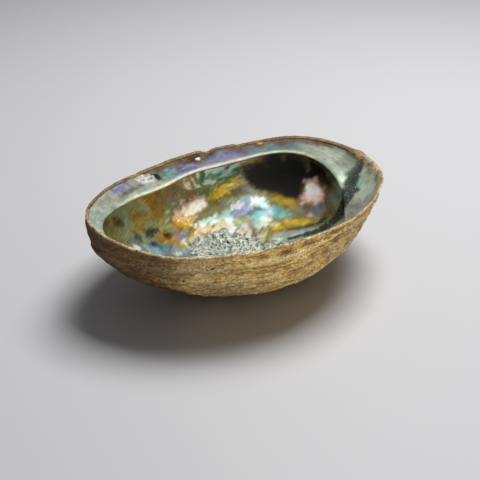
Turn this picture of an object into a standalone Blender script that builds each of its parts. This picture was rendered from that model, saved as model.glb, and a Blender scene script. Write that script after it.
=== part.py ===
"""Abalone shell lying on its back, pearl side up: one grown piece.

The skin is an open loft of wall sections round the deepest point, thickened inwards. A shelf
lofted along the far margin is joined to it, and it winds down the spire end into the bowl.
Metres, +Z up, origin under the middle of the shell's box. The spire end points to +X and the
shelf side to +Y.
"""

import math

import bmesh
import bpy
import numpy as np
from mathutils import Matrix, Vector
from mathutils.geometry import interpolate_bezier

MM = 0.001

# The rim, one value every 30 degrees round the deepest point, from +X towards +Y.
RIM_REACH_MM = (79, 76.5, 62.5, 55.5, 55.5, 62.5, 72, 65, 56.5, 54, 57.5, 66.5)
RIM_HEIGHT_MM = (43, 44.5, 42, 41.5, 41, 43.5, 45.5, 42.5, 42.5, 44, 44.5, 44)
RIM_LEAN_DEG = (56, 64, 79, 86, 82, 88, 105, 82, 74, 96, 96, 80)

# The wall between the worn flat crown that it rests on and the rim.
CROWN_RADIUS = 13 * MM
FLOOR_PULL = 0.6
WALL_PULL = 0.5
FLOOR_THICKNESS = 3.4 * MM
LIP_THICKNESS = 1.7 * MM
SHELF_SIDE_THICKNESS = 2.5 * MM

# The low spire that bulges out of the wall at the +X end.
SPIRE_PLACE = Vector((54 * MM, 5 * MM, 14.5 * MM))
SPIRE_AXIS = Vector((0.66, 0.05, -0.75))
SPIRE_RADIUS = 11 * MM
SPIRE_RISE = 3.5 * MM

# The shelf, one value every 15 degrees. ROOT is how far below the rim it leaves the wall,
# WIDTH how far its edge stands in from the rim, and DROP how far that edge lies below it.
SHELF_FIRST_DEG = -30
SHELF_STEP_DEG = 15
SHELF_ROOT_MM = (20, 15, 9, 2, 0.8, 0.8, 0.8, 0.8, 0.8, 0.8, 0.8, 0.8, 0.8, 0.8, 0.8, 0.8)
SHELF_WIDTH_MM = (12.8, 18, 17.5, 14.5, 11.5, 9.7, 11.3, 12.5, 12, 12.3, 13.2, 13, 10.5, 8, 5.5, 1.9)
SHELF_DROP_MM = (25, 20, 12, 6.8, 4.5, 4, 4, 4, 4, 4, 4.3, 4.8, 5, 4.8, 4.3, 4)
SHELF_THICKNESS = 2.0 * MM
SHELF_ROOT_DEPTH = 3.2 * MM
SHELF_ROOT_INSET = 1.3 * MM

# Open breathing pores in the far wall: angle, depth below the rim, diameter.
PORES = (
    (80, 9.0, 3.2),
    (95, 8.4, 3.6),
    (110, 8.2, 4.0),
    (125, 8.2, 4.4),
    (139, 8.4, 4.8),
)
PORE_CUT_LENGTH = 14 * MM

# A shallow chip in the rim.
CHIP_DEG = 79
CHIP_RADIUS = 6 * MM
CHIP_DEPTH = 1.3 * MM
CHIP_CUT_LENGTH = 12 * MM

# Mesh density.
SECTION_STEP_DEG = 4
WALL_POINTS = 15
WALL_SAMPLES = 80

CRUST_COLOUR = (0.30, 0.20, 0.09, 1.0)
CRUST_ROUGHNESS = 0.75


def smooth(x, stations, values):
    """Read a smooth curve through the stations (cubic Hermite)."""
    slopes = np.gradient(values, stations)
    i = int(np.clip(np.searchsorted(stations, x, side="right") - 1, 0, len(stations) - 2))
    span = stations[i + 1] - stations[i]
    t = (x - stations[i]) / span
    start = (1 + 2 * t) * (1 - t) ** 2 * values[i] + t * (1 - t) ** 2 * span * slopes[i]
    end = t * t * (3 - 2 * t) * values[i + 1] + t * t * (t - 1) * span * slopes[i + 1]
    return float(start + end)


def around(values, degrees):
    """Read a closed table of equal steps round the shell."""
    step = 360 / len(values)
    wrapped = np.array(values[-2:] + values + values[:3], float)
    stations = step * np.arange(-2, len(values) + 3)
    return smooth(degrees % 360, stations, wrapped)


def on_shelf(values, degrees):
    """Read one of the shelf's tables, in millimetres, as metres."""
    stations = SHELF_FIRST_DEG + SHELF_STEP_DEG * np.arange(len(values))
    return smooth(degrees, stations, np.array(values, float)) * MM


def wall_section(degrees, points):
    """Outer wall at one angle, as (reach, height) points from the crown to the rim."""
    reach = around(RIM_REACH_MM, degrees) * MM
    height = around(RIM_HEIGHT_MM, degrees) * MM
    lean = math.radians(around(RIM_LEAN_DEG, degrees))
    crown = Vector((CROWN_RADIUS, 0))
    floor_handle = Vector((FLOOR_PULL * reach, 0))
    rim = Vector((reach, height))
    wall_handle = rim - WALL_PULL * height * Vector((math.cos(lean), math.sin(lean)))
    return interpolate_bezier(crown, floor_handle, wall_handle, rim, points)


def wall_reach(degrees, height):
    """Reach of the outer wall at a height, at one angle."""
    section = wall_section(degrees, WALL_SAMPLES)
    return float(np.interp(height, [p.y for p in section], [p.x for p in section]))


def place(degrees, reach, height):
    """Turn a section's (reach, height) into a point in space."""
    angle = math.radians(degrees)
    return Vector((reach * math.cos(angle), reach * math.sin(angle), height))


def bulge(point):
    """Push a point of the skin out where the spire is."""
    distance = (point - SPIRE_PLACE).length
    return point + SPIRE_AXIS * (SPIRE_RISE * math.exp(-((distance / SPIRE_RADIUS) ** 2)))


def skin(bm, rows, ring):
    """Join neighbouring rows of vertices with faces. A ring's last vertex meets its first."""
    for row, following in zip(rows, rows[1:]):
        count = len(row) if ring else len(row) - 1
        for i in range(count):
            j = (i + 1) % len(row)
            bm.faces.new((row[i], row[j], following[j], following[i]))


def to_object(name, bm, collection):
    """Make an object with outward faces from a finished bmesh."""
    mesh = bpy.data.meshes.new(name)
    bm.to_mesh(mesh)
    bm.free()
    obj = bpy.data.objects.new(name, mesh)
    collection.objects.link(obj)
    return obj


def make_bowl(collection):
    """The open outer skin, thickened inwards: thick at the crown, thin at the lip."""
    angles = np.arange(0, 360, SECTION_STEP_DEG)
    sections = [wall_section(a, WALL_POINTS) for a in angles]
    bm = bmesh.new()
    rings = []
    for level in range(WALL_POINTS):
        ring = [bulge(place(a, *section[level])) for a, section in zip(angles, sections)]
        rings.append([bm.verts.new(p) for p in ring])
    skin(bm, rings, ring=True)
    centre = bm.verts.new((0, 0, 0))
    crown = rings[0]
    for vertex, following in zip(crown, crown[1:] + crown[:1]):
        bm.faces.new((centre, following, vertex))
    bmesh.ops.recalc_face_normals(bm, faces=bm.faces)
    bowl = to_object("abalone_shell", bm, collection)

    thickness = bowl.vertex_groups.new(name="wall_thickness")
    for level in range(WALL_POINTS):
        share = level / (WALL_POINTS - 1)
        for k, angle in enumerate(angles):
            far_side = max(0.0, math.sin(math.radians(angle + 20)))
            rim = LIP_THICKNESS + (SHELF_SIDE_THICKNESS - LIP_THICKNESS) * min(1.0, 2 * far_side)
            wanted = FLOOR_THICKNESS + (rim - FLOOR_THICKNESS) * share
            thickness.add([level * len(angles) + k], wanted / FLOOR_THICKNESS, "REPLACE")
    thickness.add([WALL_POINTS * len(angles)], 1.0, "REPLACE")

    solidify = bowl.modifiers.new("wall", "SOLIDIFY")
    solidify.thickness = FLOOR_THICKNESS
    solidify.offset = -1
    solidify.use_even_offset = True
    solidify.vertex_group = thickness.name
    return bowl


def shelf_section(degrees):
    """Closed outline of the shelf at one angle, as (reach, height) points."""
    reach = around(RIM_REACH_MM, degrees) * MM
    height = around(RIM_HEIGHT_MM, degrees) * MM
    root = height - on_shelf(SHELF_ROOT_MM, degrees)
    low_root = root - SHELF_ROOT_DEPTH
    edge = Vector((reach - on_shelf(SHELF_WIDTH_MM, degrees), height - on_shelf(SHELF_DROP_MM, degrees)))
    top_root = Vector((wall_reach(degrees, root) - SHELF_ROOT_INSET, root))
    bottom_root = Vector((wall_reach(degrees, low_root) - SHELF_ROOT_INSET, low_root))
    half = SHELF_THICKNESS / 2
    nose = edge + Vector((-half * 0.7, -half))
    under = edge + Vector((0, -SHELF_THICKNESS))
    return (
        top_root,
        top_root.lerp(edge, 0.5) + Vector((0, -half * 0.4)),
        edge,
        nose,
        under,
        under.lerp(bottom_root, 0.5) + Vector((0, half * 0.5)),
        bottom_root,
    )


def make_shelf(collection):
    """The shelf: a closed loft from the far-left lip round to the floor at the spire end."""
    last = SHELF_FIRST_DEG + SHELF_STEP_DEG * (len(SHELF_WIDTH_MM) - 1)
    bm = bmesh.new()
    rows = []
    for degrees in range(SHELF_FIRST_DEG, last + 1, SECTION_STEP_DEG):
        rows.append([bm.verts.new(place(degrees, *p)) for p in shelf_section(degrees)])
    skin(bm, rows, ring=True)
    bm.faces.new(rows[0])
    bm.faces.new(list(reversed(rows[-1])))
    bmesh.ops.recalc_face_normals(bm, faces=bm.faces)
    return to_object("shelf", bm, collection)


def make_cutter(name, collection, radius, length, centre, direction):
    """A cylinder that is cut out of the shell."""
    bpy.ops.mesh.primitive_cylinder_add(vertices=20, radius=radius, depth=length)
    cutter = bpy.context.object
    cutter.name = name
    for holder in cutter.users_collection:
        holder.objects.unlink(cutter)
    collection.objects.link(cutter)
    turn = direction.to_track_quat("Z", "Y").to_matrix().to_4x4()
    cutter.matrix_world = Matrix.Translation(centre) @ turn
    return cutter


def make_pore(number, collection, degrees, depth_mm, diameter_mm):
    """One pore: a cylinder square to the wall."""
    height = around(RIM_HEIGHT_MM, degrees) * MM - depth_mm * MM
    step = 1 * MM
    centre = place(degrees, wall_reach(degrees, height), height)
    rise = wall_reach(degrees, height + step) - wall_reach(degrees, height - step)
    outward = place(degrees, 2 * step, -rise).normalized()
    return make_cutter(
        f"pore_{number}", collection, diameter_mm * MM / 2, PORE_CUT_LENGTH, centre, outward
    )


def make_chip(collection):
    """A cylinder lying across the rim, which leaves a shallow dip."""
    reach = around(RIM_REACH_MM, CHIP_DEG) * MM
    height = around(RIM_HEIGHT_MM, CHIP_DEG) * MM - CHIP_DEPTH + CHIP_RADIUS
    return make_cutter(
        "rim_chip",
        collection,
        CHIP_RADIUS,
        CHIP_CUT_LENGTH,
        place(CHIP_DEG, reach, height),
        place(CHIP_DEG, 1, 0),
    )


def combine(target, tool, operation):
    """Join or cut with the exact Boolean."""
    boolean = target.modifiers.new(f"{operation.lower()}_{tool.name}", "BOOLEAN")
    boolean.operation = operation
    boolean.solver = "EXACT"
    boolean.object = tool
    tool.hide_render = True
    tool.display_type = "WIRE"


def make_material():
    """Worn tan crust."""
    material = bpy.data.materials.new("shell_crust")
    material.use_nodes = True
    shader = material.node_tree.nodes["Principled BSDF"]
    shader.inputs["Base Color"].default_value = CRUST_COLOUR
    shader.inputs["Roughness"].default_value = CRUST_ROUGHNESS
    shader.inputs["Metallic"].default_value = 0.0
    return material


def centre_over_origin(objects):
    """Slide everything in plan so that the origin is under the middle of the shell's box."""
    corners = [v.co for v in objects[0].data.vertices]
    middle_x = (min(c.x for c in corners) + max(c.x for c in corners)) / 2
    middle_y = (min(c.y for c in corners) + max(c.y for c in corners)) / 2
    slide = Matrix.Translation((-middle_x, -middle_y, 0))
    for obj in objects:
        obj.matrix_world = slide @ obj.matrix_world


def main():
    for obj in list(bpy.data.objects):
        bpy.data.objects.remove(obj, do_unlink=True)
    parts = bpy.data.collections.new("abalone")
    cutters = bpy.data.collections.new("abalone_tools")
    for collection in (parts, cutters):
        bpy.context.scene.collection.children.link(collection)

    bowl = make_bowl(parts)
    shelf = make_shelf(cutters)
    pores = [make_pore(i + 1, cutters, *pore) for i, pore in enumerate(PORES)]
    chip = make_chip(cutters)
    bpy.context.view_layer.update()
    centre_over_origin([bowl, shelf, chip] + pores)

    combine(bowl, shelf, "UNION")
    for cutter in pores + [chip]:
        combine(bowl, cutter, "DIFFERENCE")
    bowl.data.materials.append(make_material())
    bowl.data.shade_smooth()


main()
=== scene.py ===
# %% [markdown]
# # An empty abalone shell
# The shell lies on its back like a small oval bowl. Outside it is a sandy crust with growth ridges,
# inside it is mother of pearl, and along the far margin the pearl folds in to a shelf that winds down to
# the spire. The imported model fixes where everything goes, so it is loaded first and its box is kept.

# %% Load the frame
import math

import bpy
import numpy as np
from mathutils import Matrix, Quaternion, Vector


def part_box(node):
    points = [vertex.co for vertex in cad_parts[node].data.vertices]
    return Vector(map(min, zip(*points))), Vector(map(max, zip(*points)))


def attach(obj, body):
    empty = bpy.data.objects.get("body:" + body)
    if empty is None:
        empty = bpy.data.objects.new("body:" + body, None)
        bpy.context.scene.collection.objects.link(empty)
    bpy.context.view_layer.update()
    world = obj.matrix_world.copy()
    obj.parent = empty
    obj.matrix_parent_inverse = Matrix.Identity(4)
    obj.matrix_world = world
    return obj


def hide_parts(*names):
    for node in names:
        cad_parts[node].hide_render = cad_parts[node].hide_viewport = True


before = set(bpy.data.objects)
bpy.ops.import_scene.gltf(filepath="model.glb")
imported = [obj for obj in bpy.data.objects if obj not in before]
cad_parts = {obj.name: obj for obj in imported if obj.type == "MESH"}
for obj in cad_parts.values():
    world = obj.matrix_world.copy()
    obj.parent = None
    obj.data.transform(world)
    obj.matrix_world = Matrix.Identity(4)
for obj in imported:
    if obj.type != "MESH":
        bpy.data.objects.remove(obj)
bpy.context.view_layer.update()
NODE = "abalone_shell"
low, high = (np.array(corner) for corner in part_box(NODE))
print("shell box in millimetres:", np.round((high - low) * 1000, 1))

# %% [markdown]
# A snail shell grows only at its rim, so the rim says nearly everything about its shape. Here it is a
# ring of twelve stations round the deepest point of the bowl: how far out the rim is, how high it stands,
# and how steeply the wall meets it. A smooth curve through the stations gives every angle between them.
# That is easier to read and to change than a sculpted mesh, and it gives each point of the shell an
# address.

# %% The rim, station by station
MM = 0.001
RIM_REACH_MM = (79, 76.5, 62.5, 55.5, 55.5, 62.5, 72, 65, 56.5, 54, 57.5, 66.5)
RIM_HEIGHT_MM = (43, 44.5, 42, 41.5, 41, 43.5, 45.5, 42.5, 42.5, 44, 44.5, 44)
RIM_LEAN_DEG = (56, 64, 79, 86, 82, 88, 105, 82, 74, 96, 96, 80)
CROWN_RADIUS = 13 * MM
FLOOR_PULL = 0.57
WALL_PULL = 0.5


def smooth(x, stations, values):
    """Smooth curve through the stations (cubic Hermite), read at every x."""
    values = np.asarray(values, float)
    slopes = np.gradient(values, stations)
    i = np.clip(np.searchsorted(stations, x, side="right") - 1, 0, len(stations) - 2)
    span = stations[i + 1] - stations[i]
    t = np.clip((x - stations[i]) / span, 0, 1)
    start = (1 + 2 * t) * (1 - t) ** 2 * values[i] + t * (1 - t) ** 2 * span * slopes[i]
    end = t * t * (3 - 2 * t) * values[i + 1] + t * t * (t - 1) * span * slopes[i + 1]
    return start + end


def around(values, degrees):
    """Read a closed table of equal steps round the shell."""
    stations = 360 / len(values) * np.arange(-2, len(values) + 3)
    return smooth(np.asarray(degrees) % 360, stations, values[-2:] + values + values[:3])


def step(low_edge, high_edge, x):
    """0 below the low edge, 1 above the high edge, smooth between."""
    t = np.clip((x - low_edge) / (high_edge - low_edge), 0, 1)
    return t * t * (3 - 2 * t)


def bezier(a, b, c, d, t):
    """Cubic curve from a to d, pulled towards b and c."""
    return (1 - t) ** 3 * a + 3 * (1 - t) ** 2 * t * b + 3 * (1 - t) * t * t * c + t ** 3 * d


print("rim reach at 0, 45 and 90 degrees:", np.round(around(RIM_REACH_MM, np.array([0, 45, 90])), 1))

# %% [markdown]
# The shelf is the folded-in far margin. It could be a separate strip, but on the real shell it grows out
# of the same wall, so it is described the same way: where its root leaves the wall, how wide it is, and
# how far its edge drops. At the spire end the root runs down the wall, and the shelf winds into the floor
# of the bowl.

# %% The shelf, station by station
SHELF_DEG = np.array([-75, -45, -30, -15, 0, 15, 30, 45, 60, 75, 90, 105, 120, 135, 150, 165, 180,
                      195, 225, 255, 285])
SHELF_ROOT_MM = (14, 18, 20, 15, 9, 2.5, 0.9, 0.8, 0.8, 0.8, 0.8, 0.8, 0.8, 0.8, 0.8, 0.8, 0.8,
                 1, 3, 7, 14)
SHELF_WIDTH_MM = (2, 8, 13, 18, 17.5, 14.5, 11.8, 10, 11.3, 12.5, 12, 12.3, 13.2, 13, 10.5, 8, 5.5,
                  2, 0, 0, 2)
SHELF_DROP_MM = (19, 24, 25, 20, 12, 6.8, 4.5, 4, 4, 4, 4, 4, 4.3, 4.8, 5, 4.8, 4.3, 4, 8, 13, 19)
SHELF_THICKNESS = 1.9 * MM
FLOOR_THICKNESS = 3.4 * MM
LIP_THICKNESS = 1.5 * MM
SHELF_SIDE_THICKNESS = 2.4 * MM


def on_shelf(values, degrees):
    """Read one of the shelf's tables all the way round, in metres."""
    turned = (np.asarray(degrees) + 75) % 360 - 75
    return smooth(turned, SHELF_DEG, values) * MM


def soft_least(a, b, blend):
    """The smaller of a and b, with the corner between them rounded."""
    gap = np.clip(0.5 + 0.5 * (b - a) / blend, 0, 1)
    return b + (a - b) * gap - blend * gap * (1 - gap)


# %% [markdown]
# One section through the shell is a closed line: out along the floor, up the outside of the wall, over
# the lip, in along the shelf, round its edge, back under it to the wall and down to the floor again. Each
# stretch gets its own number of points, so that the lip and the shelf's edge always fall on a row of the
# mesh and stay crisp.

# %% One section through the wall
SECTIONS = 512
OUTER_ROWS = 84
LIP_ROWS = 6
TOP_ROWS = 24
NOSE_ROWS = 6
UNDER_ROWS = 14
INNER_ROWS = 66
CROWN_ROWS = 16


def wall_curve(degrees, t):
    """Outer wall and its outward direction at t, 0 at the crown's edge and 1 at the rim."""
    reach = around(RIM_REACH_MM, degrees) * MM
    height = around(RIM_HEIGHT_MM, degrees) * MM
    lean = np.radians(around(RIM_LEAN_DEG, degrees))
    r = (CROWN_RADIUS, FLOOR_PULL * reach, reach - WALL_PULL * height * np.cos(lean), reach)
    z = (0, 0, height - WALL_PULL * height * np.sin(lean), height)
    nudge = 1e-4
    ahead = [bezier(*c, np.minimum(t + nudge, 1)) for c in (r, z)]
    behind = [bezier(*c, np.maximum(t - nudge, 0)) for c in (r, z)]
    dr = ahead[0] - behind[0]
    dz = ahead[1] - behind[1]
    length = np.hypot(dr, dz)
    return bezier(*r, t), bezier(*z, t), dz / length, -dr / length


def wall_thickness(degrees, t):
    """Thick at the crown, thin at the lip, and stouter on the shelf side."""
    far_side = step(0.0, 0.5, np.sin(np.radians(degrees + 20)))
    rim = LIP_THICKNESS + (SHELF_SIDE_THICKNESS - LIP_THICKNESS) * far_side
    return FLOOR_THICKNESS + (rim - FLOOR_THICKNESS) * t ** 1.2


def section(degrees):
    """Closed outline at one angle, as rows of (reach, height), from the outer to the inner middle."""
    fine = np.linspace(0, 1, 400)
    r, z, nr, nz = wall_curve(degrees, fine)
    along = np.concatenate([[0], np.cumsum(np.hypot(np.diff(r), np.diff(z)))])
    t = np.interp(np.linspace(0, along[-1], OUTER_ROWS), along, fine)
    crown = np.linspace(0, CROWN_RADIUS, CROWN_ROWS, endpoint=False)
    rows = [(x, 0.0) for x in crown]
    rows += list(zip(np.interp(t, fine, r), np.interp(t, fine, z)))

    thick = wall_thickness(degrees, fine)
    inner_r = r - thick * nr
    inner_z = z - thick * nz
    rim_height = z[-1]

    def wall_at(depth):
        """Inner wall at a depth below the rim."""
        height = rim_height - depth
        return np.array([np.interp(height, inner_z, inner_r), height])

    root = on_shelf(SHELF_ROOT_MM, degrees)
    drop = on_shelf(SHELF_DROP_MM, degrees)
    free_edge = r[-1] - on_shelf(SHELF_WIDTH_MM, degrees)
    on_wall = wall_at(drop)
    edge = np.array([soft_least(free_edge, on_wall[0], 0.8 * MM), on_wall[1]])
    stand_off = step(0, 4 * MM, on_wall[0] - edge[0])

    lip_in = wall_at(0.3 * MM)
    lip_out = np.array([r[-1], z[-1]])
    crest = 0.35 * MM * np.sin(np.linspace(0, math.pi, LIP_ROWS + 2))[1:-1]
    for share, lift in zip(np.linspace(0, 1, LIP_ROWS + 2)[1:-1], crest):
        rows.append(tuple(lip_out + (lip_in - lip_out) * share + np.array([0, lift])))

    shelf_root = wall_at(np.maximum(root, 0.8 * MM))
    first = lip_in + (shelf_root - lip_in) * 0.85
    last = edge + (shelf_root - edge) * 0.5
    for s in np.linspace(0, 1, TOP_ROWS):
        rows.append(tuple(bezier(lip_in, first, last, edge, s)))

    nose_depth = drop + SHELF_THICKNESS
    nose_wall = wall_at(nose_depth)
    under = np.array([soft_least(edge[0] + 0.1 * MM, nose_wall[0], 0.8 * MM), nose_wall[1]])
    for s in np.linspace(0, 1, NOSE_ROWS + 2)[1:-1]:
        bow = np.array([-0.62 * SHELF_THICKNESS * np.sin(math.pi * s) * stand_off, 0])
        rows.append(tuple(edge + (under - edge) * s + bow))

    hollow_depth = (nose_depth + 2.5 * MM) * (1 - stand_off) + (root + 3.0 * MM) * stand_off
    foot_depth = (nose_depth + 5 * MM) * (1 - stand_off) + (root + 8 * MM) * stand_off
    hollow = wall_at(hollow_depth)
    foot = wall_at(foot_depth)
    pulled = (under + (hollow - under) * 0.8, foot + (hollow - foot) * 0.7)
    for s in np.linspace(0, 1, UNDER_ROWS):
        rows.append(tuple(bezier(under, *pulled, foot, s)))

    foot_t = np.interp(foot[1], inner_z, fine)
    t = np.interp(np.linspace(np.interp(foot_t, fine, along), 0, INNER_ROWS)[1:], along, fine)
    rows += list(zip(np.interp(t, fine, inner_r), np.interp(t, fine, inner_z)))
    floor = rows[-1]
    rows += [(floor[0] * (1 - (k + 1) / CROWN_ROWS), floor[1]) for k in range(CROWN_ROWS)]
    return np.array(rows)


angles = np.arange(SECTIONS) * 360 / SECTIONS
outline = np.array([section(a) for a in angles])
ROWS = outline.shape[1]
print("rows in a section:", ROWS)

# %% [markdown]
# The sections are turned into one closed mesh. With the same number of points in every ring the two
# middles would be crowded, so the rings halve their points as they get smaller, and triangles join a ring
# to its half.

# %% Skin the sections
RING_STEPS_MM = (36, 18, 9)


def ring_size(row):
    """How many points a ring has: fewer near the middle."""
    reach = outline[:, row, 0].mean() / MM
    halvings = sum(reach < limit for limit in RING_STEPS_MM)
    return SECTIONS // 2 ** halvings


sizes = [1] + [ring_size(k) for k in range(1, ROWS - 1)] + [1]
starts = np.concatenate([[0], np.cumsum(sizes)])
row_of = np.concatenate([np.full(n, k) for k, n in enumerate(sizes)])
section_of = np.concatenate([np.arange(n) * (SECTIONS // n) for n in sizes])
turn = np.radians(angles[section_of])
reach_of, height_of = outline[section_of, row_of].T
base = np.stack([reach_of * np.cos(turn), reach_of * np.sin(turn), height_of], axis=1)


def ring(k, i):
    """Number of point i of ring k."""
    return int(starts[k] + i % sizes[k])


faces = []
for k in range(ROWS - 1):
    n, m = sizes[k], sizes[k + 1]
    for i in range(max(n, m) if min(n, m) == 1 or n == m else min(n, m)):
        if n == 1:
            faces.append((ring(k, 0), ring(k + 1, i + 1), ring(k + 1, i)))
        elif m == 1:
            faces.append((ring(k, i), ring(k, i + 1), ring(k + 1, 0)))
        elif n == m:
            faces.append((ring(k, i), ring(k, i + 1), ring(k + 1, i + 1), ring(k + 1, i)))
        elif n < m:
            a, b = ring(k, i), ring(k, i + 1)
            c, d, e = (ring(k + 1, 2 * i + j) for j in range(3))
            faces += [(a, d, c), (a, b, d), (b, e, d)]
        else:
            a, b, c = (ring(k, 2 * i + j) for j in range(3))
            d, e = ring(k + 1, i), ring(k + 1, i + 1)
            faces += [(a, b, d), (b, e, d), (b, c, e)]

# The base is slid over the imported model, whose box is centred on the origin.
slide = np.array([(base[:, 0].min() + base[:, 0].max()) / 2, (base[:, 1].min() + base[:, 1].max()) / 2, 0])
base -= slide
mesh = bpy.data.meshes.new("shell")
mesh.from_pydata(base.tolist(), [], faces)
mesh.update()
shell = bpy.data.objects.new("shell", mesh)
bpy.context.scene.collection.objects.link(shell)
triangles = sum(len(f) - 2 for f in faces)
print("points:", len(base), "triangles:", triangles)
print("base box against the frame's, mm:", np.round((np.ptp(base, axis=0) - (high - low)) * 1000, 2))

# %% [markdown]
# Nothing on a grown shell is quite even. Ridges, grain and colour all come from one simple noise: random
# values on a grid in space with a smooth blend between them. It is worked out for all points at once,
# always from the same seeds, so the shell is the same each time.

# %% Noise in space
def noise(points, size, seed):
    """Smooth random bumps from -1 to 1, about `size` across."""
    p = points / size + 31.7 * seed
    cell = np.floor(p).astype(np.int64)
    f = p - cell
    f = f * f * (3 - 2 * f)
    total = np.zeros(len(p))
    for corner in np.ndindex(2, 2, 2):
        q = cell + corner
        mixed = (q[:, 0] * 73856093) ^ (q[:, 1] * 19349663) ^ (q[:, 2] * 83492791) ^ (seed * 40503)
        mixed = ((mixed ^ (mixed >> 13)) * 1274126177) & 0x7FFFFFFF
        mixed = (mixed ^ (mixed >> 15)) & 0xFFFF
        total += (mixed / 32767.5 - 1) * np.prod(np.where(corner, f, 1 - f), axis=1)
    return total


def layered(points, size, seed, layers=3):
    """Several sizes of noise on top of each other, each half the size and half as strong."""
    return sum(noise(points, size / 2 ** i, seed + i) / 2 ** i for i in range(layers))


# %% [markdown]
# Every point of the mesh gets an address: which face of the shell it is on, its angle, how far below the
# rim and how far in from the rim it lies. Relief and colour are then written as rules about addresses, in
# millimetres.

# %% Addresses
LIP_START = CROWN_ROWS + OUTER_ROWS
TOP_START = LIP_START + LIP_ROWS
NOSE_START = TOP_START + TOP_ROWS
UNDER_START = NOSE_START + NOSE_ROWS
INNER_START = UNDER_START + UNDER_ROWS

at = base / MM
degrees_of = angles[section_of]
rim_row = outline[:, LIP_START - 1]
depth = (rim_row[section_of, 1] - height_of) / MM
inset = (rim_row[section_of, 0] - reach_of) / MM
outside = row_of < LIP_START
inside = row_of >= TOP_START
across_shelf = np.clip((row_of - TOP_START) / (TOP_ROWS - 1), 0, 1)

# Unrolled like a peel: each point's distance from the middle of its side, measured along the surface.
run = np.hypot(*np.moveaxis(np.diff(outline, axis=1), 2, 0)) / MM
rho_outer = np.concatenate([np.zeros((SECTIONS, 1)), np.cumsum(run, axis=1)], axis=1)
rho_inner = rho_outer[:, -1:] - rho_outer
compass = np.stack([np.cos(np.radians(angles)), np.sin(np.radians(angles))], axis=1)
rho = np.where(inside, rho_inner[section_of, row_of], rho_outer[section_of, row_of])
flat = rho[:, None] * compass[section_of]
print("points outside:", outside.sum(), "inside:", inside.sum())


def near(x, y, long, wide, tilt=0, soft=0.5, ragged=0.0, seed=1):
    """Mask of an oval patch in plan, in millimetres: 1 in its middle, 0 outside, soft or ragged between."""
    c, s = math.cos(math.radians(tilt)), math.sin(math.radians(tilt))
    dx, dy = at[:, 0] - x, at[:, 1] - y
    distance = np.hypot((dx * c + dy * s) / long, (dy * c - dx * s) / wide)
    if ragged:
        close = distance < 1 + soft + 2 * ragged
        distance[close] += ragged * layered(at[close], min(long, wide) * 0.9, seed)
    return 1 - step(1 - soft, 1 + soft, distance)


# %% [markdown]
# The crust shows how the shell grew: each ridge was once its rim. Older rims are smaller copies of
# today's, shrunk towards the spire and turned a little, so the size of the copy that a point lies on is
# its age. Ridges are bumps in that age, coarse and fine, and they come out parallel to the rim as on the
# real shell.

# %% The outside: ridges, grain, pores and spire
SPIRE_MM = np.array([54.0, 5.0, 14.5]) - slide / MM
SPIRE_AXIS = np.array([0.66, 0.05, -0.75])
SPIRE_RADIUS_MM = 11
SPIRE_RISE_MM = 3.5
TURN_BACK = 0.55
PORES = ((80, 9.0, 3.2), (95, 8.4, 3.6), (110, 8.2, 4.0), (125, 8.2, 4.4), (139, 8.4, 4.8))
OLD_PORES = ((67, 10.0, 2.8), (54, 12.0, 2.5), (42, 15.0, 2.2), (31, 18.5, 2.0))


def growth_age(flat, side, rim_of_side, spire_degrees, spire_rho):
    """Age of each point of one side: millimetres grown since the rim was there, negative inwards."""
    a = math.radians(spire_degrees)
    spire = np.array([math.cos(a), math.sin(a)]) * spire_rho
    rim_from = rim_of_side - spire
    rim_bearing = np.arctan2(rim_from[:, 1], rim_from[:, 0])
    order = np.argsort(rim_bearing)
    rim_span = np.hypot(*rim_from.T)
    away = flat[side] - spire
    bearing = np.arctan2(away[:, 1], away[:, 0])
    distance = np.hypot(*away.T) + 0.5
    copy = np.ones(len(distance))
    for _ in range(12):
        turned = (bearing + TURN_BACK * np.log(copy) + math.pi) % (2 * math.pi) - math.pi
        span = np.interp(turned, rim_bearing[order], rim_span[order], period=2 * math.pi)
        copy = 0.5 * copy + 0.5 * np.clip(distance / span, 0.02, 1.3)
    return np.log(copy) * rim_span.mean()


age = np.zeros(len(at))
rim_flat = rho_outer[:, LIP_START - 1, None] * compass
age[~inside] = growth_age(flat, ~inside, rim_flat, 5, 57)
shelf_flat = rho_inner[:, TOP_START, None] * compass
age[inside] = growth_age(flat, inside, shelf_flat, 5, 57)


def bands(position, spacing, seed):
    """Irregular steps along one coordinate: a random height for each band, smooth between."""
    line = np.stack([position, np.zeros_like(position), np.full_like(position, 0.5)], axis=1)
    return noise(line, spacing, seed)


wavy = age + 1.1 * layered(at, 16, 3) + 0.35 * noise(at, 5, 5)
ridges = 0.62 * bands(wavy, 4.6, 11) + 0.36 * bands(wavy, 2.1, 12)
ridges = ridges * (0.7 + 0.45 * noise(at, 13, 13))

# Now and then growth stopped, and the next layer started a step lower: that leaves a ledge.
LEDGE_MM = 6.2
ledge_place = (wavy + 1.2 * noise(at, 9, 14)) / LEDGE_MM
ledge_number = np.floor(ledge_place)
ledge_part = ledge_place - ledge_number
ledge_height = 0.45 + 0.35 * np.sin(ledge_number * 2.4) + 0.30 * noise(at, 18, 15)
ledge = np.clip(ledge_height, 0, 1) * (step(0.0, 0.85, ledge_part) - step(0.88, 1.0, ledge_part))
ledge_foot = np.clip(ledge_height, 0, 1) * np.exp(-(((ledge_part + 0.5) % 1 - 0.5 - 0.02) / 0.12) ** 2)
ridges = ridges + 1.25 * (ledge - 0.4)
grain = 0.16 * noise(at, 2.4, 21) + 0.12 * noise(at, 1.3, 22)
pitted = step(0.52, 0.8, noise(at, 2.6, 23)) * step(-0.2, 0.3, noise(at, 11, 24))
lumps = 0.5 * layered(at, 9, 25)


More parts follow.
